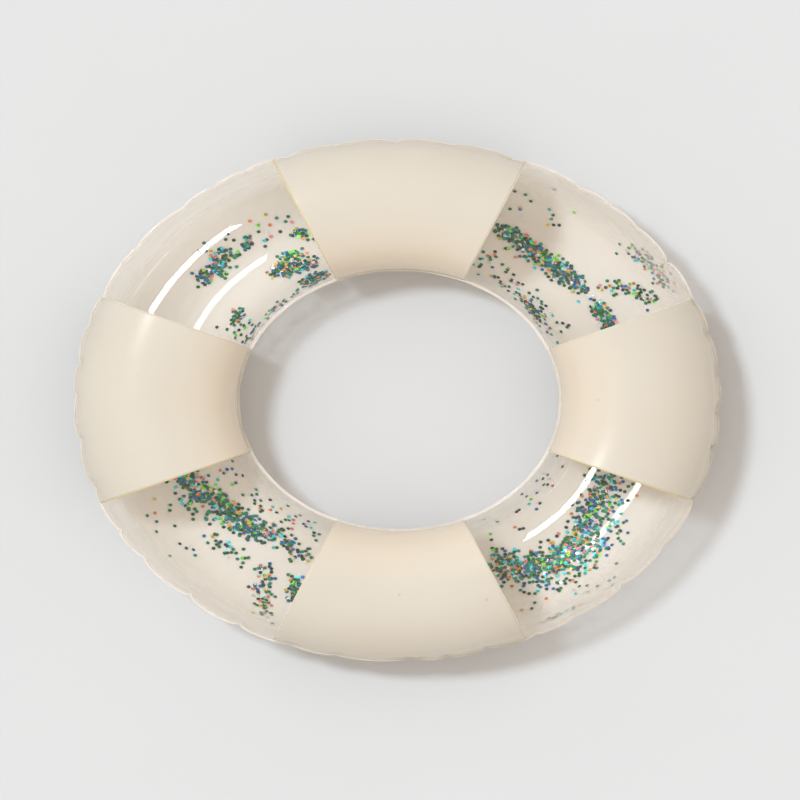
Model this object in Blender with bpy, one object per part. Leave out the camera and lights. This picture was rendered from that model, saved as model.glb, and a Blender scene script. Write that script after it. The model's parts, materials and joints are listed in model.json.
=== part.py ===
"""Inflatable swim ring: two vinyl sheets, each pieced from cream and clear sectors, welded to each other along
the hole and along a puckered outer edge. Loose glitter lies inside the clear sectors, and a push-in mouth valve
with a hinged plug and a check flap sits low on the front sector. Metres, +Z up, floor at z = 0, ring axis on Z."""

from math import cos, hypot, pi, radians, sin, sqrt

import bmesh
import bpy
from mathutils import Matrix, Vector

# Driving dimensions of the inflated ring
HOLE_RADIUS = 0.212
OUTER_RADIUS = 0.430
INNER_FLANGE = 0.004
OUTER_FLANGE = 0.006
TUBE_HALF_HEIGHT = 0.0965
FILM = 0.001
GAP = 0.0003

# What follows from them
TUBE_INNER = HOLE_RADIUS + INNER_FLANGE
TUBE_OUTER = OUTER_RADIUS - OUTER_FLANGE
TUBE_CENTRE = (TUBE_INNER + TUBE_OUTER) / 2
TUBE_HALF_WIDTH = (TUBE_OUTER - TUBE_INNER) / 2

# Facets of a panel: across the tube, and along the ring. An odd count across leaves a flat strip at the bottom.
FACETS_ACROSS = 11
FACETS_ALONG = 6
WELD_HEIGHT = TUBE_HALF_HEIGHT * cos(pi / 2 / FACETS_ACROSS)

# Sectors, anticlockwise from +X; the front is at -Y
SECTORS = ("right", "back_right", "back", "back_left", "left", "front_left", "front", "front_right")
SECTOR_ANGLE = 2 * pi / len(SECTORS)

# Puckered edge of the outer weld
SCALLOPS = 38
SCALLOP_DEPTH = 0.004
POINTS_PER_SCALLOP = 4

# Patch of glitter on the bottom of each clear sector: middle and length in degrees along the ring, distance of
# its middle from the tube's centre line, and greatest width
GLITTER_PATCHES = {
    "back_right": (47, 26, 0.012, 0.070),
    "back_left": (132, 30, -0.020, 0.075),
    "front_left": (226, 30, 0.004, 0.072),
    "front_right": (318, 28, -0.006, 0.068),
}
GLITTER_DEPTH = 0.001

# Valve, measured along its axis from the film, outwards positive
VALVE_AZIMUTH = radians(270)
VALVE_DROP = radians(25)
VALVE_FLANGE_RADIUS = 0.018
VALVE_FLANGE_THICKNESS = 0.0016
FLANGE_HOLE_RADIUS = 0.0074
FILM_HOLE_RADIUS = 0.0088
STEM_RADIUS = 0.0070
STEM_BORE_RADIUS = 0.0045
STEM_LIP_RADIUS = 0.0082
STEM_STOP_RADIUS = 0.0095
STEM_BOTTOM = -0.0180
STEM_TOP = 0.0040
LIP_THICKNESS = 0.0014
PLUG_CAP_RADIUS = 0.0072
PLUG_CAP_THICKNESS = 0.0016
STOPPER_TOP_RADIUS = 0.0042
STOPPER_TIP_RADIUS = 0.0028
STOPPER_LENGTH = 0.0060
PLUG_HINGE_X = 0.0118
HINGE_OVERHANG = 0.0005
STRAP_WIDTH = 0.0050
PULL_TAB_REACH = 0.0112
FLAP_RADIUS = 0.0058
FLAP_THICKNESS = 0.0008
FLAP_HINGE_X = 0.0064

CREAM = ("cream_vinyl", (0.80, 0.72, 0.61, 1.0), 0.42)
CLEAR = ("clear_vinyl", (0.93, 0.88, 0.80, 0.35), 0.06)
WELD = ("welded_edge", (0.84, 0.77, 0.67, 1.0), 0.30)
GLITTER = ("glitter", (0.20, 0.55, 0.60, 1.0), 0.25)
VALVE = ("valve_plastic", (0.86, 0.83, 0.78, 1.0), 0.30)
METALLIC = {"glitter": 0.9}


def clear_scene():
    for obj in list(bpy.data.objects):
        bpy.data.objects.remove(obj)


def material(finish):
    """The Principled material of this finish, made once."""
    name, colour, roughness = finish
    if name in bpy.data.materials:
        return bpy.data.materials[name]
    made = bpy.data.materials.new(name)
    made.use_nodes = True
    shader = made.node_tree.nodes["Principled BSDF"]
    shader.inputs["Base Color"].default_value = colour
    shader.inputs["Alpha"].default_value = colour[3]
    shader.inputs["Roughness"].default_value = roughness
    shader.inputs["Metallic"].default_value = METALLIC.get(name, 0.0)
    return made


def add_object(name, mesh_builder, finish, parent=None, smooth_angle=radians(40)):
    """A named object whose mesh is what mesh_builder(bm) draws, with its faces turned outwards."""
    bm = bmesh.new()
    mesh_builder(bm)
    bmesh.ops.recalc_face_normals(bm, faces=bm.faces)
    mesh = bpy.data.meshes.new(name)
    bm.to_mesh(mesh)
    bm.free()
    mesh.shade_smooth()
    mesh.set_sharp_from_angle(angle=smooth_angle)
    mesh.materials.append(material(finish))
    obj = bpy.data.objects.new(name, mesh)
    bpy.context.scene.collection.objects.link(obj)
    obj.parent = parent
    return obj


def boolean(obj, operation, helper):
    """Cut obj with helper, or join helper to it; the helper itself isn't a part."""
    modifier = obj.modifiers.new(helper.name, "BOOLEAN")
    modifier.operation = operation
    modifier.object = helper
    helper.hide_render = True
    helper.display_type = "WIRE"


def add_loft(bm, rings, closed_along=False):
    """Skin a row of rings, each with the same number of points; the ends are capped unless the row is closed."""
    loops = [[bm.verts.new(point) for point in ring] for ring in rings]
    pairs = list(zip(loops, loops[1:], strict=False))
    if closed_along:
        pairs.append((loops[-1], loops[0]))
    for first, second in pairs:
        for i in range(len(first)):
            j = (i + 1) % len(first)
            bm.faces.new((first[i], first[j], second[j], second[i]))
    return loops


def add_strip_cap(bm, ring):
    """Close the end of a thin-walled ring whose first half runs one way and second half comes back."""
    half = len(ring) // 2
    for i in range(half - 1):
        bm.faces.new((ring[i], ring[i + 1], ring[-i - 2], ring[-i - 1]))


def around(radius, height, azimuth):
    return Vector((radius * cos(azimuth), radius * sin(azimuth), height))


def on_tube(angle, azimuth, offset=0.0):
    """A point of the tube: angle 0 is its outer side, 90 degrees its top; offset is along the outward normal."""
    normal = Vector((cos(angle) / TUBE_HALF_WIDTH, sin(angle) / TUBE_HALF_HEIGHT)).normalized()
    radius = TUBE_CENTRE + TUBE_HALF_WIDTH * cos(angle) + offset * normal.x
    height = WELD_HEIGHT + TUBE_HALF_HEIGHT * sin(angle) + offset * normal.y
    return around(radius, height, azimuth)


def sector_span(index):
    """First and last azimuth of a sector, less half of the gap to its neighbours."""
    middle = index * SECTOR_ANGLE
    margin = GAP / 2 / TUBE_INNER
    return middle - SECTOR_ANGLE / 2 + margin, middle + SECTOR_ANGLE / 2 - margin


def panel_section(side):
    """Angles round the tube from the outer weld to the inner one, over the top (side 1) or underneath (-1)."""
    clearance = (FILM / 2 + GAP) / TUBE_HALF_HEIGHT
    steps = [pi * i / FACETS_ACROSS for i in range(FACETS_ACROSS + 1)]
    steps[0] = clearance
    steps[-1] = pi - clearance
    return [side * angle for angle in steps]


def add_panel(name, index, side, finish):
    """One sheet of one sector: an arched shell between the two welds."""
    start, end = sector_span(index)
    section = panel_section(side)

    def build(bm):
        rings = []
        for i in range(FACETS_ALONG + 1):
            azimuth = start + (end - start) * i / FACETS_ALONG
            outside = [on_tube(angle, azimuth) for angle in section]
            inside = [on_tube(angle, azimuth, -FILM) for angle in reversed(section)]
            rings.append(outside + inside)
        loops = add_loft(bm, rings)
        add_strip_cap(bm, loops[0])
        add_strip_cap(bm, loops[-1])

    return add_object(name, build, finish)


def add_panels():
    """Cream sectors face the four axes and clear ones lie between them, on both sheets."""
    panels = {}
    for index, sector in enumerate(SECTORS):
        cream = index % 2 == 0
        for side, sheet in ((1, "upper"), (-1, "lower")):
            name = f"{sheet}_{'cream' if cream else 'clear'}_{sector}"
            panels[name] = add_panel(name, index, side, CREAM if cream else CLEAR)
    return panels


def scalloped_radius(azimuth):
    """Edge of the outer weld, gathered into uneven scallops with sharp valleys between them."""
    drift = 0.55 * sin(3 * azimuth + 0.4) + 0.35 * sin(7 * azimuth + 2.0)
    lobe = abs(sin((SCALLOPS * azimuth + drift) / 2))
    depth = SCALLOP_DEPTH * (0.75 + 0.25 * sin(5 * azimuth + 1.0))
    return OUTER_RADIUS - depth * (1 - lobe**0.7)


def add_weld(name, inner_radius, outer_radius, points, finish):
    """A flat ring at the height of the weld; each radius is a function of the azimuth."""
    low, high = WELD_HEIGHT - FILM / 2, WELD_HEIGHT + FILM / 2

    def build(bm):
        rings = []
        for i in range(points):
            azimuth = 2 * pi * i / points
            inner, outer = inner_radius(azimuth), outer_radius(azimuth)
            corners = ((inner, low), (outer, low), (outer, high), (inner, high))
            rings.append([around(radius, height, azimuth) for radius, height in corners])
        add_loft(bm, rings, closed_along=True)

    return add_object(name, build, finish)


def add_welds():
    """The flanges reach a little way under the walls of the tube, which leave room for them."""
    bite = FILM + GAP
    add_weld(
        "outer_weld_seam", lambda _: TUBE_OUTER - bite, scalloped_radius, SCALLOPS * POINTS_PER_SCALLOP, WELD
    )
    add_weld("inner_weld_seam", lambda _: HOLE_RADIUS, lambda _: TUBE_INNER + bite, 64, WELD)


def add_glitter_patch(sector, middle, length, shift, width):
    """A thin lens-shaped drift of flakes that lies on the inside of the lower sheet."""
    steps_along, steps_across = 8, 4
    bottom = FILM + GAP + TUBE_HALF_WIDTH * (1 - cos(pi / 2 / FACETS_ACROSS))

    def build(bm):
        rings = []
        for i in range(steps_along + 1):
            along = 2 * i / steps_along - 1
            azimuth = radians(middle + along * length / 2)
            half = width / 2 * (0.15 + 0.85 * sqrt(1 - along**2))
            offsets = [shift + half * (2 * j / steps_across - 1) for j in range(steps_across + 1)]
            angles = [-pi / 2 + offset / TUBE_HALF_WIDTH for offset in offsets]
            lower = [on_tube(angle, azimuth, -bottom) for angle in angles]
            upper = [on_tube(angle, azimuth, -bottom - GLITTER_DEPTH) for angle in reversed(angles)]
            rings.append(lower + upper)
        loops = add_loft(bm, rings)
        add_strip_cap(bm, loops[0])
        add_strip_cap(bm, loops[-1])

    return add_object(f"glitter_{sector}", build, GLITTER)


def add_valve_axis():
    """An empty on the valve's axis at the film, its Z outwards and its X along the ring."""
    outwards = (on_tube(-VALVE_DROP, VALVE_AZIMUTH, 1.0) - on_tube(-VALVE_DROP, VALVE_AZIMUTH)).normalized()
    along = Vector((-sin(VALVE_AZIMUTH), cos(VALVE_AZIMUTH), 0.0))
    turn = Matrix((along, outwards.cross(along), outwards)).transposed()
    axis = bpy.data.objects.new("valve_axis", None)
    axis.matrix_world = Matrix.LocRotScale(on_tube(-VALVE_DROP, VALVE_AZIMUTH), turn, None)
    bpy.context.scene.collection.objects.link(axis)
    return axis


def add_turned(name, profile, finish, parent, segments=24, origin=(0, 0, 0)):
    """A solid turned about the parent's Z; profile is a closed list of (radius, height), measured from there."""
    base = Vector(origin)

    def build(bm):
        if profile[0][0] == 0:
            add_turned_solid(bm)
        else:
            rings = []
            for i in range(segments):
                azimuth = 2 * pi * i / segments
                rings.append([around(radius, height, azimuth) - base for radius, height in profile])
            add_loft(bm, rings, closed_along=True)

    def add_turned_solid(bm):
        rings = []
        for radius, height in profile[1:-1]:
            rings.append([around(radius, height, 2 * pi * i / segments) - base for i in range(segments)])
        loops = add_loft(bm, rings)
        bm.faces.new(loops[0])
        bm.faces.new(reversed(loops[-1]))

    obj = add_object(name, build, finish, parent)
    obj.location = base
    return obj


def add_block(name, low, high, finish, parent, origin=(0, 0, 0)):
    """A plain box, given by its lowest and highest corners."""
    low, high, base = Vector(low), Vector(high), Vector(origin)

    def build(bm):
        bmesh.ops.create_cube(bm, size=1.0)
        bmesh.ops.scale(bm, vec=high - low, verts=bm.verts)
        bmesh.ops.translate(bm, vec=(high + low) / 2 - base, verts=bm.verts)

    obj = add_object(name, build, finish, parent)
    obj.location = base
    return obj


def add_valve_flange():
    """A collar that follows the film's curve, with a round hole for the stem."""
    segments = 32
    levels = (GAP, GAP + VALVE_FLANGE_THICKNESS)
    radii = (FLANGE_HOLE_RADIUS, (FLANGE_HOLE_RADIUS + VALVE_FLANGE_RADIUS) / 2, VALVE_FLANGE_RADIUS)
    corners = [(radius, levels[1]) for radius in radii] + [(radius, levels[0]) for radius in reversed(radii)]
    ring_radius = hypot(*on_tube(-VALVE_DROP, 0).xy)

    def build(bm):
        rings = []
        for i in range(segments):
            turn = 2 * pi * i / segments
            ring = []
            for radius, level in corners:
                angle = -VALVE_DROP + radius * sin(turn) / TUBE_HALF_WIDTH
                azimuth = VALVE_AZIMUTH + radius * cos(turn) / ring_radius
                ring.append(on_tube(angle, azimuth, level))
            rings.append(ring)
        add_loft(bm, rings, closed_along=True)

    return add_object("valve_flange", build, VALVE)


def add_valve_stem(axis):
    """The tube that slides in the flange: a lip outside, a stop ring inside and a lug for the plug's strap."""
    lip_base = STEM_TOP - LIP_THICKNESS
    stop_top = STEM_BOTTOM + LIP_THICKNESS
    profile = [
        (STEM_BORE_RADIUS, STEM_BOTTOM),
        (STEM_STOP_RADIUS, STEM_BOTTOM),
        (STEM_STOP_RADIUS, stop_top),
        (STEM_RADIUS, stop_top),
        (STEM_RADIUS, lip_base),
        (STEM_LIP_RADIUS, lip_base),
        (STEM_LIP_RADIUS, STEM_TOP),
        (STEM_BORE_RADIUS, STEM_TOP),
    ]
    stem = add_turned("valve_stem", profile, VALVE, axis)
    lug_half = STRAP_WIDTH / 2 + GAP
    lug = add_block(
        "stem_lug",
        (STEM_RADIUS, -lug_half, lip_base),
        (PLUG_HINGE_X + HINGE_OVERHANG, lug_half, STEM_TOP),
        VALVE,
        axis,
    )
    boolean(stem, "UNION", lug)
    return stem


def add_valve_plug(axis):
    """Tapered stopper, cap, pull tab and strap in one piece, turning about an axis along Y at the strap's end."""
    cap_base = STEM_TOP + GAP
    cap_top = cap_base + PLUG_CAP_THICKNESS
    hinge = (PLUG_HINGE_X, 0.0, (cap_base + cap_top) / 2)
    profile = [
        (0, cap_base - STOPPER_LENGTH),
        (STOPPER_TIP_RADIUS, cap_base - STOPPER_LENGTH),
        (STOPPER_TOP_RADIUS, cap_base),
        (PLUG_CAP_RADIUS, cap_base),
        (PLUG_CAP_RADIUS, cap_top),
        (0, cap_top),
    ]
    plug = add_turned("valve_plug", profile, VALVE, axis, origin=hinge)
    half = STRAP_WIDTH / 2
    strap_end = PLUG_HINGE_X + HINGE_OVERHANG
    strap = add_block("plug_strap", (0.005, -half, cap_base), (strap_end, half, cap_top), VALVE, axis)
    tab = add_block("plug_tab", (-PULL_TAB_REACH, -half, cap_base), (-0.005, half, cap_top), VALVE, axis)
    boolean(plug, "UNION", strap)
    boolean(plug, "UNION", tab)
    return plug


def add_check_flap(axis):
    """The disc that air pressure holds against the stem's inner end, with an ear that is its hinge."""
    top = STEM_BOTTOM - GAP
    bottom = top - FLAP_THICKNESS
    hinge = (FLAP_HINGE_X, 0.0, (top + bottom) / 2)
    profile = [(0, bottom), (FLAP_RADIUS, bottom), (FLAP_RADIUS, top), (0, top)]
    flap = add_turned("check_flap", profile, VALVE, axis, segments=20, origin=hinge)
    half = STRAP_WIDTH / 2
    ear = add_block("flap_ear", (0.004, -half, bottom), (FLAP_HINGE_X + HINGE_OVERHANG, half, top), VALVE, axis)
    boolean(flap, "UNION", ear)
    return flap


def cut_film_hole(panel, axis):
    """Open the front sheet where the stem passes through it."""
    bottom, top = -0.012, 0.006
    profile = [(0, bottom), (FILM_HOLE_RADIUS, bottom), (FILM_HOLE_RADIUS, top), (0, top)]
    boolean(panel, "DIFFERENCE", add_turned("film_hole", profile, VALVE, axis))


def add_valve(front_panel):
    axis = add_valve_axis()
    add_valve_flange()
    add_valve_stem(axis)
    add_valve_plug(axis)
    add_check_flap(axis)
    cut_film_hole(front_panel, axis)


def main():
    clear_scene()
    panels = add_panels()
    add_welds()
    for sector, patch in GLITTER_PATCHES.items():
        add_glitter_patch(sector, *patch)
    add_valve(panels["lower_cream_front"])


main()
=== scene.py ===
"""Looks of the inflatable swim ring: taut film with a puckered outer weld, loose glitter, and the valve."""

import json
from math import cos, pi, radians, sin, sqrt

import bmesh
import bpy
import numpy as np
from mathutils import Matrix, Vector


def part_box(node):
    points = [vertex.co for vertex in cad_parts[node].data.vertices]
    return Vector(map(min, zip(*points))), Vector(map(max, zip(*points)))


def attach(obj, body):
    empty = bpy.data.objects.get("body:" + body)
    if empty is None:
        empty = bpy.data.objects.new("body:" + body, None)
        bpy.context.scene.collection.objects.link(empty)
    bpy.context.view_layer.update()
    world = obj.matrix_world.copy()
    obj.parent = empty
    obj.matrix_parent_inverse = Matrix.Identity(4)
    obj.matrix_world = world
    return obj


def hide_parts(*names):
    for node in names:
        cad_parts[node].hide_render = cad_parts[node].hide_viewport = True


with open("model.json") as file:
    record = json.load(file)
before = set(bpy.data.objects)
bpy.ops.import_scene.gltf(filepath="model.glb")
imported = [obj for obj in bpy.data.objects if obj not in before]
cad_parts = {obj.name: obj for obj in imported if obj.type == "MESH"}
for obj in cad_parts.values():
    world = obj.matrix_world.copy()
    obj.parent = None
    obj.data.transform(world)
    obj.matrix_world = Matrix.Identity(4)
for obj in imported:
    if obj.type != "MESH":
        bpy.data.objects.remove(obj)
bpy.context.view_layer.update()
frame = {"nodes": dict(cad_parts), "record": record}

# Proportions of the ring, read from the frame. The CAD panels' facets stay a little below the true crown, and
# the flange of the inner weld reaches a little way into the hole
FACET_SAG = 0.001
INNER_FLANGE = 0.004
SECTORS = ("right", "back_right", "back", "back_left", "left", "front_left", "front", "front_right")
SECTOR_ANGLE = 2 * pi / len(SECTORS)
RIGHT_LOW, RIGHT_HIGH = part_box("upper_cream_right")
SEAM_LOW, SEAM_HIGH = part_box("outer_weld_seam")
WELD_HEIGHT = (SEAM_LOW.z + SEAM_HIGH.z) / 2
EDGE_RADIUS = (SEAM_HIGH.y - SEAM_LOW.y) / 2
TUBE_OUTER = RIGHT_HIGH.x
TUBE_INNER = RIGHT_LOW.x / cos(SECTOR_ANGLE / 2)
TUBE_CENTRE = (TUBE_OUTER + TUBE_INNER) / 2
TUBE_HALF_WIDTH = (TUBE_OUTER - TUBE_INNER) / 2
TUBE_HALF_HEIGHT = RIGHT_HIGH.z - WELD_HEIGHT + FACET_SAG
HOLE_RADIUS = TUBE_INNER - INNER_FLANGE

# The film: its thickness, how far cream lies over clear, and the points of a panel along and across the tube.
# Rows are crowded by this much towards the welds, where the puckers are
FILM = 0.0004
CREAM_LIFT = 0.0005
LAP = 0.003
COLUMNS = 140
ROWS = 96
CROWDING = 0.11

# Exponent of the lower sheet's section: 2 would be an ellipse, and less draws it to a slight keel
KEEL = 1.74

# Gathers along the outer weld: how deep their valleys are, and how far those reach over the film. A lobe ends
# in a sharp notch at the weld and grows rounder over the film, and it has faded out at the last distance
SCALLOPS = 38
SCALLOP_WIDTHS = (0.62, 1.42)
SCALLOP_START = 0.05
PUCKER_DEPTH = (0.0040, 0.0105)
PUCKER_REACH = (0.010, 0.026)
PUCKER_SKEW = (0.35, 0.65)
NOTCH_ROUNDNESS = 0.36
LOBE_ROUNDING = 1.6
LOBE_ROUNDING_REACH = 0.020
PUCKER_END = 0.075

# The two sheets lie together for the last bit before the weld, like a skirt
SKIRT = 0.0040
SKIRT_REACH = 0.006
FLANGE_THICKNESS = 0.0009

# Fine wrinkles beside the outer weld and slow swells of the whole tube. The lower sheet's wrinkles are turned
# by an angle against the upper ones, and its gathers by a share of it. Near the inner weld the film is smooth
WRINKLE_HEIGHT = 0.00022
SWELL_HEIGHT = 0.00004
LOWER_TURN = 0.11
GATHER_SHARE = 0.08
SMOOTH_REACH = 0.02

# Rings pressed into both sheets beside the inner weld, as distances from it along the film
INNER_RIDGES = (0.011, 0.022)
RIDGE_HEIGHT = 0.0006
RIDGE_WIDTH = 0.0022

# Hole in the film behind the valve's flange: the stem's inner stop passes it and meets the flange
VALVE_HOLE_RADIUS = 0.0102

# Light: direction of the key in plan, anticlockwise from +X, and its angle from the vertical, in degrees
KEY_AZIMUTH = 143
KEY_ZENITH = 27
KEY_STRENGTH = 1.455
KEY_COLOUR = (0.87, 1.0, 1.13)
KEY_SIZE = 9
LOW_SKY = (0.75, 0.71, 0.67, 1)
HIGH_SKY = (0.935, 0.873, 0.81, 1)

# The picture looks straight down, but shows a round ring as an oval whose height is this share of its width.
# The picture's width is given in metres along X on the ground, and the lens and the sensor in millimetres
PICTURE_SQUEEZE = 0.807
PICTURE_WIDTH = 1.0636
LENS = 1000
SENSOR = 36

random = np.random.default_rng(20)


def linear(value):
    """Linear share of an sRGB value given in 0 to 255."""
    share = value / 255
    return ((share + 0.055) / 1.055) ** 2.4 if value > 10 else share / 12.92


def colour(red, green, blue):
    """Linear colour of an sRGB one given in 0 to 255."""
    return (linear(red), linear(green), linear(blue), 1)


# ---------------------------------------------------------------- shape of the film


class Gathers:
    """Uneven scallops along the outer weld: where each begins, and how deep the valley there is."""

    def __init__(self, count):
        widths = random.uniform(*SCALLOP_WIDTHS, count)
        self.starts = np.concatenate([[0], np.cumsum(widths)]) / widths.sum() * 2 * pi
        self.depths = random.uniform(*PUCKER_DEPTH, count)
        self.reaches = random.uniform(*PUCKER_REACH, count)
        self.skews = random.uniform(*PUCKER_SKEW, count)
        self.count = count

    def at(self, azimuth, distance):
        """How far the film is drawn in, at this distance from the weld along the film."""
        turn = np.mod(azimuth + SCALLOP_START, 2 * pi)
        index = np.clip(np.searchsorted(self.starts, turn, side="right") - 1, 0, self.count - 1)
        share = (turn - self.starts[index]) / (self.starts[index + 1] - self.starts[index])
        following = (index + 1) % self.count
        blend = share * share * (3 - 2 * share)
        depth = self.depths[index] * (1 - blend) + self.depths[following] * blend
        reach = self.reaches[index] * (1 - blend) + self.reaches[following] * blend
        skewed = share ** (np.log(0.5) / np.log(self.skews[index]))
        roundness = NOTCH_ROUNDNESS + LOBE_ROUNDING * (1 - np.exp(-distance / LOBE_ROUNDING_REACH))
        lobe = np.clip(4 * skewed * (1 - skewed), 0, 1) ** roundness
        fade = np.clip(1 - distance / PUCKER_END, 0, 1) ** 2
        return -depth * (1 - lobe) * np.exp(-distance / reach) * fade


gathers = Gathers(SCALLOPS)
ripple_phases = random.uniform(0, 2 * pi, 12)


def ripples(azimuth, distance):
    """Fine radial wrinkles beside the weld, and the slight unevenness of a hand-filled tube."""
    total = np.zeros(np.broadcast(azimuth, distance).shape)
    for i, phase in enumerate(ripple_phases[:5]):
        waves = 61 + 29 * i
        fade = np.exp(-distance / (0.022 - 0.003 * i))
        total = total + WRINKLE_HEIGHT * np.sin(waves * azimuth + phase) * fade
    for i, phase in enumerate(ripple_phases[5:9]):
        total = total + SWELL_HEIGHT * np.sin((5 + 4 * i) * azimuth + phase + 9 * distance * (i - 1.5))
    return total


def tube_section(angle):
    """The section of the tube as shares of its half-width and half-height, a little keeled below the weld."""
    power = np.where(np.sin(angle) < 0, 2 / KEEL, 1.0)
    across = np.sign(np.cos(angle)) * np.abs(np.cos(angle)) ** power
    return across, np.sign(np.sin(angle)) * np.abs(np.sin(angle)) ** power


def film_points(angle, azimuth, offset=0.0, rest=None):
    """Points of the tube. Angle 0 is the outer weld, pi / 2 the top, pi the inner weld, -pi / 2 the bottom.

    Offset is how far outside the film the points are. Rest is the least height that the floor leaves them, by
    default that of points this far inside the film.
    """
    angle, azimuth = np.broadcast_arrays(np.asarray(angle, float), np.asarray(azimuth, float))
    distance = np.abs(angle) * TUBE_HALF_WIDTH
    far = (pi - np.abs(angle)) * TUBE_HALF_WIDTH
    turn = np.where(angle < 0, LOWER_TURN, 0.0)
    smooth = 1 - np.exp(-far / SMOOTH_REACH)
    lift = np.zeros(angle.shape) + offset
    for place in INNER_RIDGES:
        lift = lift + RIDGE_HEIGHT * np.exp(-(((far - place) / RIDGE_WIDTH) ** 2))
    lift = lift + gathers.at(azimuth + GATHER_SHARE * turn, distance)
    lift = lift + ripples(azimuth + turn, distance) * smooth
    skirt = SKIRT * np.exp(-distance / SKIRT_REACH)
    normal_r = np.cos(angle) / TUBE_HALF_WIDTH
    normal_z = np.sin(angle) / TUBE_HALF_HEIGHT
    length = np.hypot(normal_r, normal_z)
    across, up = tube_section(angle)
    radius = TUBE_CENTRE + TUBE_HALF_WIDTH * across + lift * normal_r / length + skirt
    height = WELD_HEIGHT + TUBE_HALF_HEIGHT * up + lift * normal_z / length
    # The tube rests on the floor, which presses a flat strip into it
    height = np.maximum(height, max(-offset, 0) if rest is None else rest)
    return np.stack([radius * np.cos(azimuth), radius * np.sin(azimuth), height], axis=-1)


# ---------------------------------------------------------------- meshes

# Edges of the moulded pieces and of the pierced film that fold by more than this stay sharp in the shading
SHARP_ANGLE = radians(42)


def new_object(name, points, faces, materials, face_material=None, smooth=True):
    mesh = bpy.data.meshes.new(name)
    mesh.from_pydata(np.asarray(points, float).tolist(), [], [list(map(int, face)) for face in faces])
    for item in materials:
        mesh.materials.append(item)
    if face_material is not None:
        mesh.polygons.foreach_set("material_index", np.asarray(face_material, np.int32))
    mesh.polygons.foreach_set("use_smooth", np.full(len(faces), smooth))
    mesh.validate()
    mesh.update()
    obj = bpy.data.objects.new(name, mesh)
    bpy.context.scene.collection.objects.link(obj)
    return obj


def grid_faces(rows, columns, start, flip, wrap=False):
    """Quads between the points of a grid that is stored row by row."""
    faces = []
    for i in range(rows - 1):
        for j in range(columns if wrap else columns - 1):
            k = (j + 1) % columns
            quad = (i * columns + j, i * columns + k, (i + 1) * columns + k, (i + 1) * columns + j)
            faces.append([start + q for q in (reversed(quad) if flip else quad)])
    return faces


def rim_faces(rows, columns, flip):
    """Quads that join the edges of the outside grid to those of the inside one."""
    border = [(0, j) for j in range(columns)] + [(i, columns - 1) for i in range(1, rows)]
    border += [(rows - 1, j) for j in range(columns - 2, -1, -1)] + [(i, 0) for i in range(rows - 2, 0, -1)]
    index = [i * columns + j for i, j in border]
    inside = rows * columns
    faces = []
    for a, b in zip(index, index[1:] + index[:1], strict=True):
        quad = (a, inside + a, inside + b, b)
        faces.append(tuple(reversed(quad)) if flip else quad)
    return faces


def add_panel(sheet, sector, index, cream, materials):
    """One sheet of one sector, outside, inside and cut edges, with the cream ones lapping over the clear."""
    name = f"{sheet}_{'cream' if cream else 'clear'}_{sector}"
    middle = index * SECTOR_ANGLE
    half = SECTOR_ANGLE / 2
    margin = LAP / TUBE_CENTRE if cream else 0.0
    azimuth = np.linspace(middle - half - margin, middle + half + margin, COLUMNS)
    gap = FLANGE_THICKNESS / 2 / TUBE_HALF_HEIGHT
    step = np.linspace(0, 1, ROWS)
    share = step - CROWDING * np.sin(2 * pi * step)
    angle = gap + (pi - 2 * gap) * share
    side = 1 if sheet == "upper" else -1
    across, along = np.meshgrid(side * angle, azimuth, indexing="ij")
    lift = CREAM_LIFT if cream else 0.0
    outside = film_points(across, along, lift, rest=0.0).reshape(-1, 3)
    inside = film_points(across, along, lift - FILM, rest=FILM).reshape(-1, 3)
    flip = side < 0
    faces = grid_faces(ROWS, COLUMNS, 0, flip)
    faces_inside = grid_faces(ROWS, COLUMNS, ROWS * COLUMNS, not flip)
    rim = rim_faces(ROWS, COLUMNS, flip)
    slots = [0] * len(faces) + [1] * len(faces_inside) + [2] * len(rim)
    points = np.concatenate([outside, inside])
    panel = new_object(f"film_{name}", points, faces + faces_inside + rim, materials, slots)
    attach(panel, "ring")
    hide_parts(name)
    return panel


def add_flange(name, radii, height_wave, columns, materials, node):
    """A welded flange: a thin ring with a rounded edge, cream in the cream sectors and clear between them."""
    azimuth = np.linspace(0, 2 * pi, columns, endpoint=False)
    inner, outer = radii(azimuth)
    sign = np.sign(outer - inner)
    half = FLANGE_THICKNESS / 2
    profile = [(0.0, half), (0.35, half), (0.7, half), (0.93, half * 0.9), (1.0, half * 0.25)]
    profile += [(share, -height) for share, height in reversed(profile)]
    points = []
    for share, height in profile:
        radius = inner + (outer - inner) * share
        level = WELD_HEIGHT + height + height_wave(azimuth) * share**2
        points.append(np.stack([radius * np.cos(azimuth), radius * np.sin(azimuth), level], axis=-1))
    count = len(profile)
    faces = grid_faces(count, columns, 0, bool(sign[0] > 0), wrap=True)
    last = (count - 1) * columns
    for j in range(columns):
        k = (j + 1) % columns
        quad = (last + j, last + k, k, j)
        faces.append(tuple(reversed(quad)) if sign[0] > 0 else quad)
    sector = np.round(azimuth / SECTOR_ANGLE + 0.5 / columns).astype(int) % 2
    slots = [int(sector[j]) for _ in range(count) for j in range(columns)]
    flange = new_object(name, np.concatenate(points), faces, materials, slots)
    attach(flange, "ring")
    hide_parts(node)
    return flange


# A lap's bead: points along it, its angle from the welds, and its section as (width, height)
BEAD_ROWS = 150
BEAD_END = 0.012
BEAD_PROFILE = [(0.0, 0.0004), (0.0005, 0.0005), (0.0010, 0.0003), (0.0014, 0.00005)]


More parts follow.
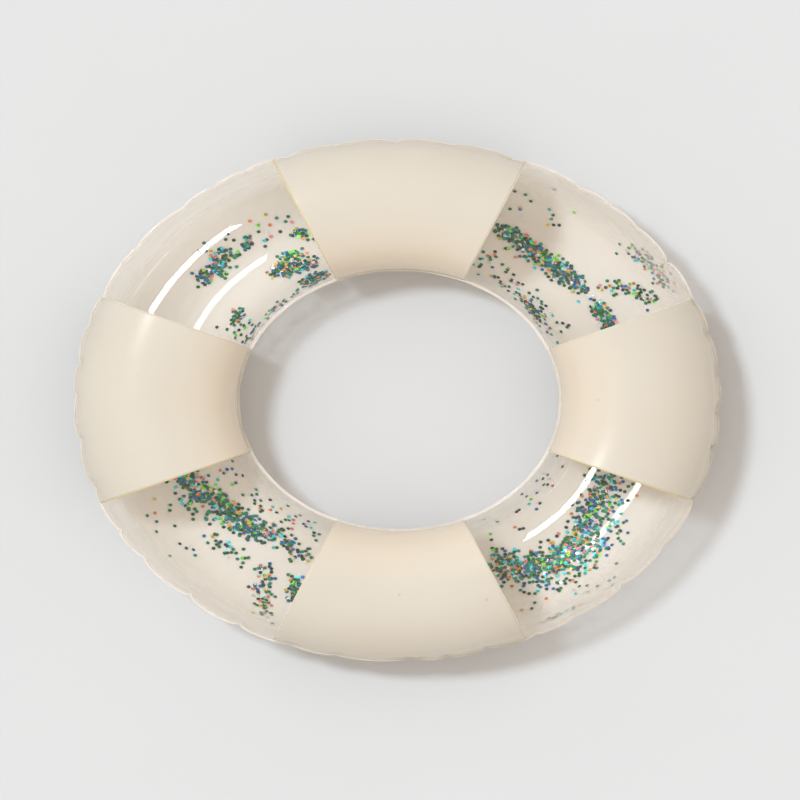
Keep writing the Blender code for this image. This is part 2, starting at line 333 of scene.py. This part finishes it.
def add_weld_bead(joint, materials):
    """The narrow line of fused vinyl beside the lap of two panels, all the way round the tube."""
    middle = (joint + 0.5) * SECTOR_ANGLE
    side = 1 if joint % 2 == 0 else -1
    angle = np.linspace(BEAD_END, 2 * pi - BEAD_END, BEAD_ROWS)
    angle = np.where(angle > pi, angle - 2 * pi, angle)
    angle = angle[np.abs(angle) < pi - BEAD_END]
    rows = []
    for width, height in BEAD_PROFILE + [(width, 0) for width, _ in reversed(BEAD_PROFILE)]:
        rows.append(film_points(angle, middle + side * (LAP + width) / TUBE_CENTRE, height))
    points = np.stack(rows, axis=1)
    count = len(angle)
    columns = len(rows)
    # The upper and the lower sheet each have a bead, and both end at the welds
    break_row = int(np.flatnonzero(np.diff(np.sign(angle)) != 0)[0])
    faces = []
    for first, last in ((0, break_row), (break_row + 1, count - 1)):
        for i in range(first, last):
            for j in range(columns):
                k = (j + 1) % columns
                faces.append((i * columns + j, i * columns + k, (i + 1) * columns + k, (i + 1) * columns + j))
        faces.append([first * columns + j for j in reversed(range(columns))])
        faces.append([last * columns + j for j in range(columns)])
    if side < 0:
        faces = [tuple(reversed(face)) for face in faces]
    bead = new_object(f"lap_bead_{joint + 1}", points.reshape(-1, 3), faces, materials)
    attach(bead, "ring")
    return bead


# ---------------------------------------------------------------- glitter

FLAKE_RADIUS = 0.0029
FLAKE_THICKNESS = 0.00012
FLAKE_SPACING = 0.0031

# Height of a flake's middle over the film: a share of its radius, on top of a place in the heap
FLAKE_RISE = 0.22
HEAP_HEIGHTS = (0.0001, 0.0009)

# How flakes lean on each other, in radians: the greatest keeps their corners off the film
FLAKE_TILT = 0.13
GREATEST_TILT = 0.24

# How close flakes come to the joints and the welds, in radians, and how often one may lie on another
JOINT_MARGIN = 0.012
WELD_MARGIN = 0.12
OVERLAPPING = 0.15
TRIES_PER_FLAKE = 40

# Each drift of a sector: its path as (azimuth in degrees, distance outwards from the tube's centre line in
# half-widths of the tube), how wide it is in metres, and how many flakes it holds
DRIFTS = {
    "back_left": [
        ([(139.5, 0.00), (137.5, 0.08), (134.5, 0.16)], 0.017, 90),
        ([(142.5, 0.07), (141.0, 0.10)], 0.010, 45),
        ([(129.0, 0.02), (127.5, 0.14)], 0.008, 22),
        ([(128.0, -0.52), (123.5, -0.60), (117.5, -0.66)], 0.012, 120),
        ([(125.0, -0.42), (119.0, -0.46)], 0.012, 60),
        ([(123.5, -0.85), (116.0, -0.88)], 0.009, 60),
        ([(117.0, -0.10), (114.5, -0.20)], 0.010, 28),
        ([(146.0, -0.58), (148.5, -0.66)], 0.009, 24),
        ([(152.0, -0.55), (150.0, -0.90)], 0.022, 26),
        ([(155.0, -0.93), (141.0, -0.95), (128.0, -0.94), (116.0, -0.92)], 0.012, 64),
        ([(135.0, 0.20), (117.0, 0.10)], 0.045, 34),
    ],
    "back_right": [
        ([(64.5, -0.06), (58.0, -0.10), (50.6, -0.17), (44.0, -0.16), (37.6, -0.12)], 0.013, 250),
        ([(62.0, -0.16), (40.0, -0.20)], 0.026, 80),
        ([(31.5, -0.12), (27.0, -0.14), (23.0, -0.13)], 0.011, 92),
        ([(35.0, 0.12), (29.8, 0.44), (26.5, 0.60)], 0.016, 62),
        ([(39.0, 0.72), (34.0, 0.84), (28.0, 0.80)], 0.020, 74),
        ([(66.0, -0.62), (47.3, -0.80), (27.0, -0.86)], 0.030, 92),
        ([(44.0, -0.86), (37.0, -0.88)], 0.009, 46),
        ([(66.0, 0.40), (48.0, 0.60)], 0.050, 16),
    ],
    "front_left": [
        ([(201.5, -0.02), (206.0, -0.12), (214.8, -0.27), (223.0, -0.30), (229.7, -0.33)], 0.016, 330),
        ([(204.0, 0.02), (232.0, -0.34)], 0.032, 90),
        ([(230.5, -0.38), (237.0, -0.42), (243.5, -0.30)], 0.016, 84),
        ([(238.0, 0.10), (240.0, 0.44), (243.0, 0.72)], 0.014, 76),
        ([(245.5, 0.05), (246.8, 0.38)], 0.012, 44),
        ([(222.0, 0.16), (232.0, 0.12)], 0.014, 26),
        ([(206.0, -0.62), (240.0, -0.78)], 0.030, 52),
        ([(204.0, 0.30), (228.0, 0.42)], 0.040, 20),
    ],
    "front_right": [
        ([(294, -0.30), (304, 0.08), (313, 0.20), (320, 0.06), (327.3, -0.12), (337.5, -0.20)], 0.024, 500),
        ([(296.0, -0.02), (306.0, 0.20), (314.0, 0.26)], 0.034, 230),
        ([(316.0, 0.30), (320.5, 0.42), (325.0, 0.30)], 0.020, 50),
        ([(296.0, 0.45), (318.0, 0.66)], 0.040, 42),
        ([(322.0, -0.05), (337.0, 0.10)], 0.030, 56),
        ([(300.0, -0.75), (336.0, -0.82)], 0.030, 26),
        ([(297.0, 0.90), (306.0, 0.93)], 0.006, 14),
    ],
}

# sRGB colours of the flakes, and how common each is
FLAKE_COLOURS = (
    ("teal", (0, 128, 104), 0.25),
    ("deep_teal", (0, 58, 46), 0.17),
    ("blue", (8, 100, 168), 0.12),
    ("navy", (20, 44, 100), 0.03),
    ("green", (0, 104, 34), 0.21),
    ("cyan", (30, 210, 222), 0.06),
    ("lime", (112, 228, 44), 0.04),
    ("orange", (232, 134, 74), 0.06),
    ("pink", (226, 128, 150), 0.03),
    ("gold", (216, 190, 70), 0.04),
    ("silver", (236, 240, 250), 0.05),
)


def tube_angle(share):
    """Angle on the lower sheet of a point this share of the half-width outwards of the tube's centre line."""
    share = np.clip(share, -0.97, 0.97)
    return -pi / 2 + np.arcsin(np.sign(share) * np.abs(share) ** (KEEL / 2))


def drift_places(path, width, count, sector_middle):
    """Azimuths and tube angles of the flakes of one drift, kept inside the sector and a little apart."""
    half = SECTOR_ANGLE / 2 - JOINT_MARGIN
    stops = np.linspace(0, 1, len(path))
    bearings = np.radians([azimuth for azimuth, _ in path])
    angles = tube_angle(np.array([share for _, share in path]))
    found = []
    tries = 0
    while len(found) < count and tries < count * TRIES_PER_FLAKE:
        tries += 1
        at = random.uniform(0, 1)
        angle = np.interp(at, stops, angles) + random.normal(0, width / 2) / TUBE_HALF_WIDTH
        radius = TUBE_CENTRE + TUBE_HALF_WIDTH * cos(angle)
        azimuth = np.interp(at, stops, bearings) + random.normal(0, width / 2) / radius
        if abs(azimuth - sector_middle) > half or not -pi + WELD_MARGIN < angle < -WELD_MARGIN:
            continue
        place = (azimuth * radius, angle * TUBE_HALF_WIDTH)
        crowded = any((place[0] - x) ** 2 + (place[1] - y) ** 2 < FLAKE_SPACING**2 for x, y, _, _ in found)
        if crowded and random.random() > OVERLAPPING:
            continue
        found.append((*place, azimuth, angle))
    return [(azimuth, angle) for _, _, azimuth, angle in found]


def flake_points(azimuth, angle, layer):
    """Two hexagons, one over the other, lying on the inside of the lower sheet."""
    base = film_points(angle, azimuth, -FILM - layer).reshape(3)
    step = 0.002
    along = film_points(angle, azimuth + step, -FILM - layer).reshape(3) - base
    across = film_points(angle + step, azimuth, -FILM - layer).reshape(3) - base
    normal = Vector(np.cross(along, across)).normalized()
    centre = Vector((TUBE_CENTRE * cos(azimuth), TUBE_CENTRE * sin(azimuth), WELD_HEIGHT))
    if normal.dot(centre - Vector(base)) < 0:
        normal.negate()
    tilt = Vector(random.normal(0, FLAKE_TILT, 3))
    tilt *= min(1, GREATEST_TILT / tilt.length)
    normal = (normal + tilt).normalized()
    side = normal.orthogonal().normalized()
    other = normal.cross(side)
    turn = random.uniform(0, pi / 3)
    rise = normal * (FLAKE_RADIUS * FLAKE_RISE)
    points = []
    for level in (0.0, FLAKE_THICKNESS):
        for i in range(6):
            bearing = turn + pi / 3 * i
            corner = side * cos(bearing) + other * sin(bearing)
            points.append(Vector(base) + rise + corner * FLAKE_RADIUS + normal * level)
    return points


def add_glitter(sector, index, materials):
    """All loose flakes of one clear sector."""
    middle = index * SECTOR_ANGLE
    weights = np.array([share for _, _, share in FLAKE_COLOURS])
    weights = weights / weights.sum()
    points, faces, slots = [], [], []
    for path, width, count in DRIFTS[sector]:
        for azimuth, angle in drift_places(path, width, count, middle):
            start = len(points)
            points += flake_points(azimuth, angle, random.uniform(*HEAP_HEIGHTS))
            faces.append([start + 5 - i for i in range(6)])
            faces.append([start + 6 + i for i in range(6)])
            for i in range(6):
                k = (i + 1) % 6
                faces.append([start + i, start + k, start + 6 + k, start + 6 + i])
            slots += [int(random.choice(len(weights), p=weights))] * 8
    flakes = new_object(f"flakes_{sector}", points, faces, materials, slots, smooth=False)
    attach(flakes, "ring")
    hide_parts(f"glitter_{sector}")
    return flakes


# ---------------------------------------------------------------- materials


class Nodes:
    """A small helper that adds and links the nodes of one material."""

    def __init__(self, name):
        self.material = bpy.data.materials.new(name)
        self.material.use_nodes = True
        self.tree = self.material.node_tree
        self.tree.nodes.clear()
        self.output = self.add("ShaderNodeOutputMaterial")

    def add(self, kind, settings=None, **inputs):
        node = self.tree.nodes.new(kind)
        for key, value in (settings or {}).items():
            setattr(node, key, value)
        for key, value in inputs.items():
            self.put(value, node.inputs[key.replace("_", " ")])
        return node

    def put(self, value, socket):
        """Gives a socket a constant value, or the output of another node."""
        if isinstance(value, bpy.types.NodeSocket):
            self.tree.links.new(value, socket)
        else:
            socket.default_value = value

    def mix(self, share, first, second):
        """Two shaders mixed by share."""
        node = self.add("ShaderNodeMixShader", Fac=share)
        self.put(first.outputs[0], node.inputs[1])
        self.put(second.outputs[0], node.inputs[2])
        return node

    def position(self):
        return self.add("ShaderNodeTexCoord").outputs["Object"]

    def by_height(self, start, end, low, high):
        """A value that goes smoothly from low to high between two heights."""
        split = self.add("ShaderNodeSeparateXYZ", Vector=self.position())
        return self.step(split.outputs["Z"], start, end, low, high)

    def by_radius(self, start, end, low, high):
        """A value that goes smoothly from low to high between two distances from the ring's axis."""
        flat = self.add("ShaderNodeVectorMath", {"operation": "MULTIPLY"})
        self.put(self.position(), flat.inputs[0])
        self.put((1, 1, 0), flat.inputs[1])
        reach = self.add("ShaderNodeVectorMath", {"operation": "LENGTH"})
        self.put(flat.outputs[0], reach.inputs[0])
        return self.step(reach.outputs["Value"], start, end, low, high)

    def step(self, value, start, end, low, high):
        """Value turned into a smooth step from low at start to high at end."""
        node = self.add("ShaderNodeMapRange", {"interpolation_type": "SMOOTHSTEP"}, Value=value)
        for name, number in (("From Min", start), ("From Max", end), ("To Min", low), ("To Max", high)):
            self.put(number, node.inputs[name])
        return node.outputs["Result"]

    def blend(self, share, first, second):
        """Two colours mixed by share."""
        node = self.add("ShaderNodeMix", {"data_type": "RGBA"}, Factor=share)
        self.put(first, node.inputs[6])
        self.put(second, node.inputs[7])
        return node.outputs[2]

    def noise(self, scale, detail=2.0, roughness=0.5):
        return self.add(
            "ShaderNodeTexNoise", Vector=self.position(), Scale=scale, Detail=detail, Roughness=roughness
        ).outputs["Fac"]

    def ramp(self, value, stops):
        """A colour ramp over value; stops are (place, colour)."""
        node = self.add("ShaderNodeValToRGB", Fac=value)
        elements = node.color_ramp.elements
        while len(elements) < len(stops):
            elements.new(0.5)
        for element, (place, shade) in zip(elements, stops, strict=True):
            element.position = place
            element.color = shade
        return node.outputs["Color"]

    def spread(self, value, low, high):
        """Value, from 0 to 1, turned into low to high."""
        return self.add("ShaderNodeMapRange", Value=value, To_Min=low, To_Max=high).outputs["Result"]

    def math(self, operation, first, second):
        node = self.add("ShaderNodeMath", {"operation": operation})
        self.put(first, node.inputs[0])
        self.put(second, node.inputs[1])
        return node.outputs[0]

    def film_fresnel(self, normal):
        """Share that a thin film reflects: little from the front, half at a glance, alike from both sides."""
        facing = self.add("ShaderNodeLayerWeight", Blend=0.5, Normal=normal).outputs["Facing"]
        return self.spread(self.math("POWER", facing, 4.0), 0.03, 0.50)

    def bump(self, height, distance, strength=1.0):
        node = self.add("ShaderNodeBump", Height=height, Distance=distance, Strength=strength)
        return node.outputs["Normal"]

    def finish(self, shader):
        self.put(shader.outputs[0], self.output.inputs["Surface"])
        return self.material


# Heights between which the lower clear film grows clearer, and distances from the outer edge between which
# the upper one grows cloudier
CLEARING_HEIGHTS = (0.012, 0.062)
EDGE_HAZE_REACH = (0.050, 0.006)


def grey(level):
    return (level, level, level, 1)


def cream_vinyl(name, light, dark, painted_inner_glow, roughness):
    """Satin film: slightly mottled, painted lighter and warmer towards the inner weld as a stand-in for light
    glowing through the film there, with flakes just showing.
    """
    nodes = Nodes(name)
    tone = nodes.ramp(nodes.noise(7, 3), [(0.3, dark), (0.7, light)])
    # Painted light: towards the inner weld the colour turns to a lighter, warmer one that stands in for light
    # glowing through the film.
    tone = nodes.blend(nodes.by_radius(TUBE_INNER, TUBE_CENTRE, 1.0, 0.0), tone, painted_inner_glow)
    cells = nodes.add("ShaderNodeTexVoronoi", Vector=nodes.position(), Scale=26.0)
    spot = nodes.ramp(cells.outputs["Distance"], [(0.055, grey(1)), (0.085, grey(0))])
    chosen = nodes.add("ShaderNodeSeparateColor", Color=cells.outputs["Color"])
    sparse = nodes.ramp(chosen.outputs["Red"], [(0.86, grey(0)), (0.87, grey(0.35))])
    ghost = nodes.math("MULTIPLY", spot, sparse)
    grain = nodes.bump(nodes.noise(300, 2), 0.00004, 0.25)
    shader = nodes.add(
        "ShaderNodeBsdfPrincipled",
        Base_Color=nodes.blend(ghost, tone, colour(150, 160, 164)),
        Roughness=nodes.spread(nodes.noise(5, 1), roughness - 0.01, roughness + 0.01),
        Normal=grain,
    )
    shader.inputs["Specular IOR Level"].default_value = 0.36
    return nodes.finish(shader)


def clear_vinyl(name, tint, haze, milk, gloss=True, upward=0.5, edge_haze=0.0, clearing=1.0):
    """Clear film: lets light through with a warm tint, scatters a little of it, and shines like water.

    Haze is the least and the greatest share of light that is scattered, and upward is the share of that light
    that goes back. The puckered film by the outer weld is cloudier by edge_haze. Clearing is the share of the
    haze that is left where the film stands up from the floor.
    """
    nodes = Nodes(name)
    through = nodes.add("ShaderNodeBsdfTransparent", Color=tint)
    scatter = nodes.add("ShaderNodeBsdfDiffuse", Color=milk)
    glow = nodes.add("ShaderNodeBsdfTranslucent", Color=milk)
    cloud = nodes.spread(nodes.noise(14, 3), *haze)
    if clearing < 1:
        cloud = nodes.math("MULTIPLY", cloud, nodes.by_height(*CLEARING_HEIGHTS, 1.0, clearing))
    if edge_haze:
        start, end = (TUBE_OUTER - distance for distance in EDGE_HAZE_REACH)
        cloud = nodes.math("ADD", cloud, nodes.by_radius(start, end, 0.0, edge_haze))
    film = nodes.mix(cloud, through, nodes.mix(1 - upward, scatter, glow))
    if not gloss:
        return nodes.finish(film)
    surface = nodes.bump(nodes.noise(60, 2), 0.00001, 0.4)
    mirror = nodes.add("ShaderNodeBsdfGlossy", Color=grey(1), Roughness=0.03, Normal=surface)
    return nodes.finish(nodes.mix(nodes.film_fresnel(surface), film, mirror))


def plain_vinyl(name, shade, roughness, subsurface=0.0):
    """Moulded or fused vinyl with faint cloudiness."""
    nodes = Nodes(name)
    darker = tuple(c * 0.93 for c in shade[:3]) + (1,)
    shader = nodes.add(
        "ShaderNodeBsdfPrincipled",
        Base_Color=nodes.ramp(nodes.noise(120, 3), [(0.35, darker), (0.65, shade)]),
        Roughness=nodes.spread(nodes.noise(300, 2), roughness - 0.04, roughness + 0.04),
        Normal=nodes.bump(nodes.noise(700, 2), 0.00005, 0.4),
    )
    shader.inputs["Subsurface Weight"].default_value = subsurface
    shader.inputs["Subsurface Radius"].default_value = (0.004, 0.003, 0.002)
    return nodes.finish(shader)


def flake_material(name, shade):
    """Holographic foil: a metallic colour broken up by its own fine grating."""
    nodes = Nodes(f"flake_{name}")
    brighter = tuple(min(1, c * 1.35 + 0.03) for c in shade[:3]) + (1,)
    darker = tuple(c * 0.6 for c in shade[:3]) + (1,)
    shader = nodes.add(
        "ShaderNodeBsdfPrincipled",
        Base_Color=nodes.ramp(nodes.noise(420, 1), [(0.35, darker), (0.65, brighter)]),
        Metallic=0.5,
        Roughness=nodes.spread(nodes.noise(500, 1), 0.34, 0.50),
    )
    return nodes.finish(shader)


def floor_material():
    nodes = Nodes("pale_floor")
    shade = nodes.ramp(nodes.noise(3, 2), [(0.3, grey(0.650)), (0.7, grey(0.657))])
    shader = nodes.add("ShaderNodeBsdfPrincipled", Base_Color=shade, Roughness=0.9)
    shader.inputs["Specular IOR Level"].default_value = 0.0
    return nodes.finish(shader)


# ---------------------------------------------------------------- light and camera


def toward(azimuth, zenith):
    """Unit vector to a place in the sky, both in degrees."""
    a, z = radians(azimuth), radians(zenith)
    return Vector((sin(z) * cos(a), sin(z) * sin(a), cos(z)))


def add_light(name, kind, direction, distance, energy, shade=(1, 1, 1)):
    data = bpy.data.lights.new(name, kind)
    data.energy = energy
    data.color = shade
    light = bpy.data.objects.new(name, data)
    light.location = direction * distance
    light.rotation_euler = direction.to_track_quat("Z", "Y").to_euler()
    bpy.context.scene.collection.objects.link(light)
    return light


def add_strip(name, azimuth, zenith, wide, high, radiance, distance=60.0):
    """A strip of light that only reflections show. Its place, width and height are in degrees of sky."""
    light = add_light(name, "AREA", toward(azimuth, zenith), distance, 1.0)
    light.data.shape = "RECTANGLE"
    light.data.size = 2 * distance * sin(radians(wide / 2))
    light.data.size_y = 2 * distance * sin(radians(high / 2))
    light.data.energy = radiance * pi * light.data.size * light.data.size_y
    light.visible_diffuse = False
    light.visible_camera = False
    light.visible_transmission = False
    direction = toward(azimuth, zenith)
    side = Vector((0, 0, 1)).cross(direction).normalized()
    turn = Matrix((side, direction.cross(side), direction)).transposed()
    light.rotation_euler = turn.to_euler()
    return light


def light_scene():
    key = add_light("key", "SUN", toward(KEY_AZIMUTH, KEY_ZENITH), 5, KEY_STRENGTH, KEY_COLOUR)
    key.data.angle = radians(KEY_SIZE)
    key.visible_glossy = False
    add_strip("strip", azimuth=142.5, zenith=39, wide=20, high=8.4, radiance=30)
    add_strip("low_strip", azimuth=148, zenith=79, wide=13, high=1.2, radiance=7)
    world = bpy.data.worlds.new("studio")
    bpy.context.scene.world = world
    world.use_nodes = True
    tree = world.node_tree
    place = tree.nodes.new("ShaderNodeTexCoord")
    split = tree.nodes.new("ShaderNodeSeparateXYZ")
    ramp = tree.nodes.new("ShaderNodeValToRGB")
    tree.links.new(place.outputs["Generated"], split.inputs[0])
    tree.links.new(split.outputs["Z"], ramp.inputs["Fac"])
    tree.links.new(ramp.outputs["Color"], tree.nodes["Background"].inputs["Color"])
    first, second = ramp.color_ramp.elements
    first.position, first.color = 0.35, LOW_SKY
    second.position, second.color = 0.70, HIGH_SKY


def add_camera():
    """Straight down from far away, with a skewed empty as its parent.

    The skew tips the camera's own X axis upwards without turning its line of sight. So a metre along X on the
    ground is drawn 1 / PICTURE_SQUEEZE as long as a metre along Y.
    """
    data = bpy.data.cameras.new("camera")
    data.lens = LENS
    data.sensor_width = SENSOR
    data.clip_start = 1.0
    data.clip_end = 1000
    camera = bpy.data.objects.new("camera", data)
    squeeze = bpy.data.objects.new("camera_squeeze", None)
    for obj in (squeeze, camera):
        bpy.context.scene.collection.objects.link(obj)
    camera.parent = squeeze
    distance = PICTURE_WIDTH / PICTURE_SQUEEZE * LENS / SENSOR
    tip = sqrt(1 - PICTURE_SQUEEZE**2)
    camera.matrix_parent_inverse = Matrix(
        ((PICTURE_SQUEEZE, 0, 0, 0), (0, 1, 0, 0), (tip, 0, 1, distance), (0, 0, 0, 1))
    )
    bpy.context.scene.camera = camera


def add_floor():
    """A pale floor that reaches the horizon, just under the ring."""
    size, level = 200, -0.0005
    corners = [(x * size, y * size, level) for x, y in ((-1, -1), (1, -1), (1, 1), (-1, 1))]
    floor = new_object("floor", corners, [(0, 1, 2, 3)], [floor_material()])


# ---------------------------------------------------------------- the object


def add_panels():
    # The third colour is painted light: the warm glow of the film towards the inner weld.
    light, dark, painted_inner_glow = colour(213, 204, 189), colour(210, 200, 184), colour(225, 211, 191)
    cream = cream_vinyl("cream_film", light, dark, painted_inner_glow, 0.26)
    cream_inside = plain_vinyl("cream_film_inside", colour(244, 236, 221), 0.5)
    cream_edge = plain_vinyl("cream_cut_edge", colour(224, 207, 172), 0.35)
    milk = colour(255, 248, 238)
    tint, lower_tint = (1.0, 0.995, 0.985, 1), (1.0, 0.98, 0.96, 1)
    upper = clear_vinyl("clear_upper_film", tint, (0.01, 0.03), milk, edge_haze=0.38)
    lower = clear_vinyl("clear_lower_film", lower_tint, (0.85, 0.89), milk, upward=0.82, clearing=0.6)
    clear_inside = clear_vinyl("clear_film_inside", (1, 1, 1, 1), (0.0, 0.01), milk, gloss=False)
    clear_edge = clear_vinyl("clear_cut_edge", (0.98, 0.95, 0.91, 1), (0.5, 0.6), milk, gloss=False)
    for index, sector in enumerate(SECTORS):
        is_cream = index % 2 == 0
        for sheet, film in (("upper", upper), ("lower", lower)):
            materials = [cream, cream_inside, cream_edge] if is_cream else [film, clear_inside, clear_edge]
            add_panel(sheet, sector, index, is_cream, materials)


# Joints whose bead is painted a darker yellow: a painted shade line beside the cream panel's edge there.
JOINTS_WITH_PAINTED_SHADE = (2, 4, 7)

# How far the flanges begin inside the film they're welded to
OUTER_TUCK = 0.0012
INNER_TUCK = 0.0008


def outer_radii(azimuth):
    """Both edges of the outer flange: it follows the gathers of the film."""
    pull = gathers.at(azimuth, 0.0)
    return TUBE_OUTER + pull + SKIRT - OUTER_TUCK, EDGE_RADIUS + pull


def outer_wave(azimuth):
    return 0.0004 * np.sin(61 * azimuth + 0.7) + 0.0006 * np.sin(37 * azimuth + 2.1)


def inner_radii(azimuth):
    """Both edges of the inner flange, which is trimmed a little unevenly."""
    return TUBE_INNER + INNER_TUCK + 0 * azimuth, HOLE_RADIUS + 0.00025 * np.sin(23 * azimuth)


def inner_wave(azimuth):
    return 0.0003 * np.sin(17 * azimuth)


def add_welds():
    cream = plain_vinyl("welded_cream_edge", colour(220, 211, 198), 0.45)
    tint, milk = (1.0, 0.985, 0.97, 1), colour(254, 247, 239)
    clear = clear_vinyl("welded_clear_edge", tint, (0.50, 0.64), milk, upward=0.7)
    add_flange("outer_flange", outer_radii, outer_wave, 2720, [cream, clear], "outer_weld_seam")
    add_flange("inner_flange", inner_radii, inner_wave, 480, [cream, clear], "inner_weld_seam")
    pale_bead = plain_vinyl("fused_lap_line", colour(226, 214, 190), 0.35)
    # Painted shade: this darker yellow bead stands in for the shade line that the light leaves beside those
    # laps.
    shade_painted_bead = plain_vinyl("fused_lap_line_painted_shade", colour(224, 200, 140), 0.35)
    for joint in range(len(SECTORS)):
        add_weld_bead(joint, [shade_painted_bead if joint in JOINTS_WITH_PAINTED_SHADE else pale_bead])


def add_all_glitter():
    flakes = [flake_material(name, colour(*shade)) for name, shade, _ in FLAKE_COLOURS]
    for index, sector in enumerate(SECTORS):
        if sector in DRIFTS:
            add_glitter(sector, index, flakes)


def add_moulding(node, body, edge_radius, material):
    """The CAD piece as it comes from the mould: flats joined up again, edges rounded, turned faces smooth."""
    source = frame["nodes"][node]
    shell = bmesh.new()
    shell.from_mesh(source.data)
    shell.transform(source.matrix_world)
    bmesh.ops.remove_doubles(shell, verts=shell.verts, dist=1e-6)
    bmesh.ops.dissolve_limit(shell, angle_limit=radians(1), verts=shell.verts, edges=shell.edges)
    sharp = [edge for edge in shell.edges if edge.is_manifold and edge.calc_face_angle() > radians(35)]
    bmesh.ops.bevel(
        shell, geom=sharp, offset=edge_radius, segments=3, profile=0.5, affect="EDGES", clamp_overlap=True
    )
    mesh = bpy.data.meshes.new(f"moulded_{node}")
    shell.to_mesh(mesh)
    shell.free()
    mesh.materials.clear()
    mesh.materials.append(material)
    mesh.polygons.foreach_set("material_index", np.zeros(len(mesh.polygons), np.int32))
    mesh.polygons.foreach_set("use_smooth", np.full(len(mesh.polygons), True))
    mesh.set_sharp_from_angle(angle=SHARP_ANGLE)
    piece = bpy.data.objects.new(f"moulded_{node}", mesh)
    bpy.context.scene.collection.objects.link(piece)
    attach(piece, body)
    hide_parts(node)
    return piece


# Place of the cut edge's material on a film panel
CUT_EDGE_SLOT = 2


def pierce_film(panel, node, axis, radius):
    """The round hole in the film behind a valve, about the middle of a CAD node and along this axis."""
    corner, far_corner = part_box(node)
    shell = bmesh.new()
    place = Matrix.Translation((corner + far_corner) / 2) @ axis.to_track_quat("Z", "Y").to_matrix().to_4x4()
    bmesh.ops.create_cone(
        shell, cap_ends=True, segments=48, radius1=radius, radius2=radius, depth=4 * radius, matrix=place
    )
    for face in shell.faces:
        face.material_index = CUT_EDGE_SLOT
    punch_mesh = bpy.data.meshes.new("valve_hole_punch")
    shell.to_mesh(punch_mesh)
    shell.free()
    punch = bpy.data.objects.new("valve_hole_punch", punch_mesh)
    bpy.context.scene.collection.objects.link(punch)
    cut = panel.modifiers.new("valve_hole", "BOOLEAN")
    cut.solver = "EXACT"
    cut.object = punch
    pierced = bpy.data.meshes.new_from_object(panel.evaluated_get(bpy.context.evaluated_depsgraph_get()))
    pierced.set_sharp_from_angle(angle=SHARP_ANGLE)
    panel.modifiers.clear()
    panel.data = pierced
    bpy.data.objects.remove(punch)
    bpy.data.meshes.remove(punch_mesh)


def finish_valve():
    joints = frame["record"]["behaviour"]["joints"]
    axis = next(Vector(joint["axis"]) for joint in joints if joint["name"] == "valve_slide")
    pierce_film(bpy.data.objects["film_lower_cream_front"], "valve_flange", axis, VALVE_HOLE_RADIUS)
    soft = plain_vinyl("valve_vinyl", colour(226, 220, 210), 0.3, 0.3)
    add_moulding("valve_flange", "ring", 0.0005, soft)
    add_moulding("valve_stem", "stem", 0.0004, soft)
    add_moulding("valve_plug", "plug", 0.0004, soft)
    add_moulding("check_flap", "flap", 0.0002, soft)


add_camera()
light_scene()
add_floor()
add_panels()
add_welds()
add_all_glitter()
finish_valve()

view = bpy.context.scene.view_settings
view.view_transform = "Standard"
view.look = "None"
bpy.context.scene.cycles.transparent_max_bounces = 32
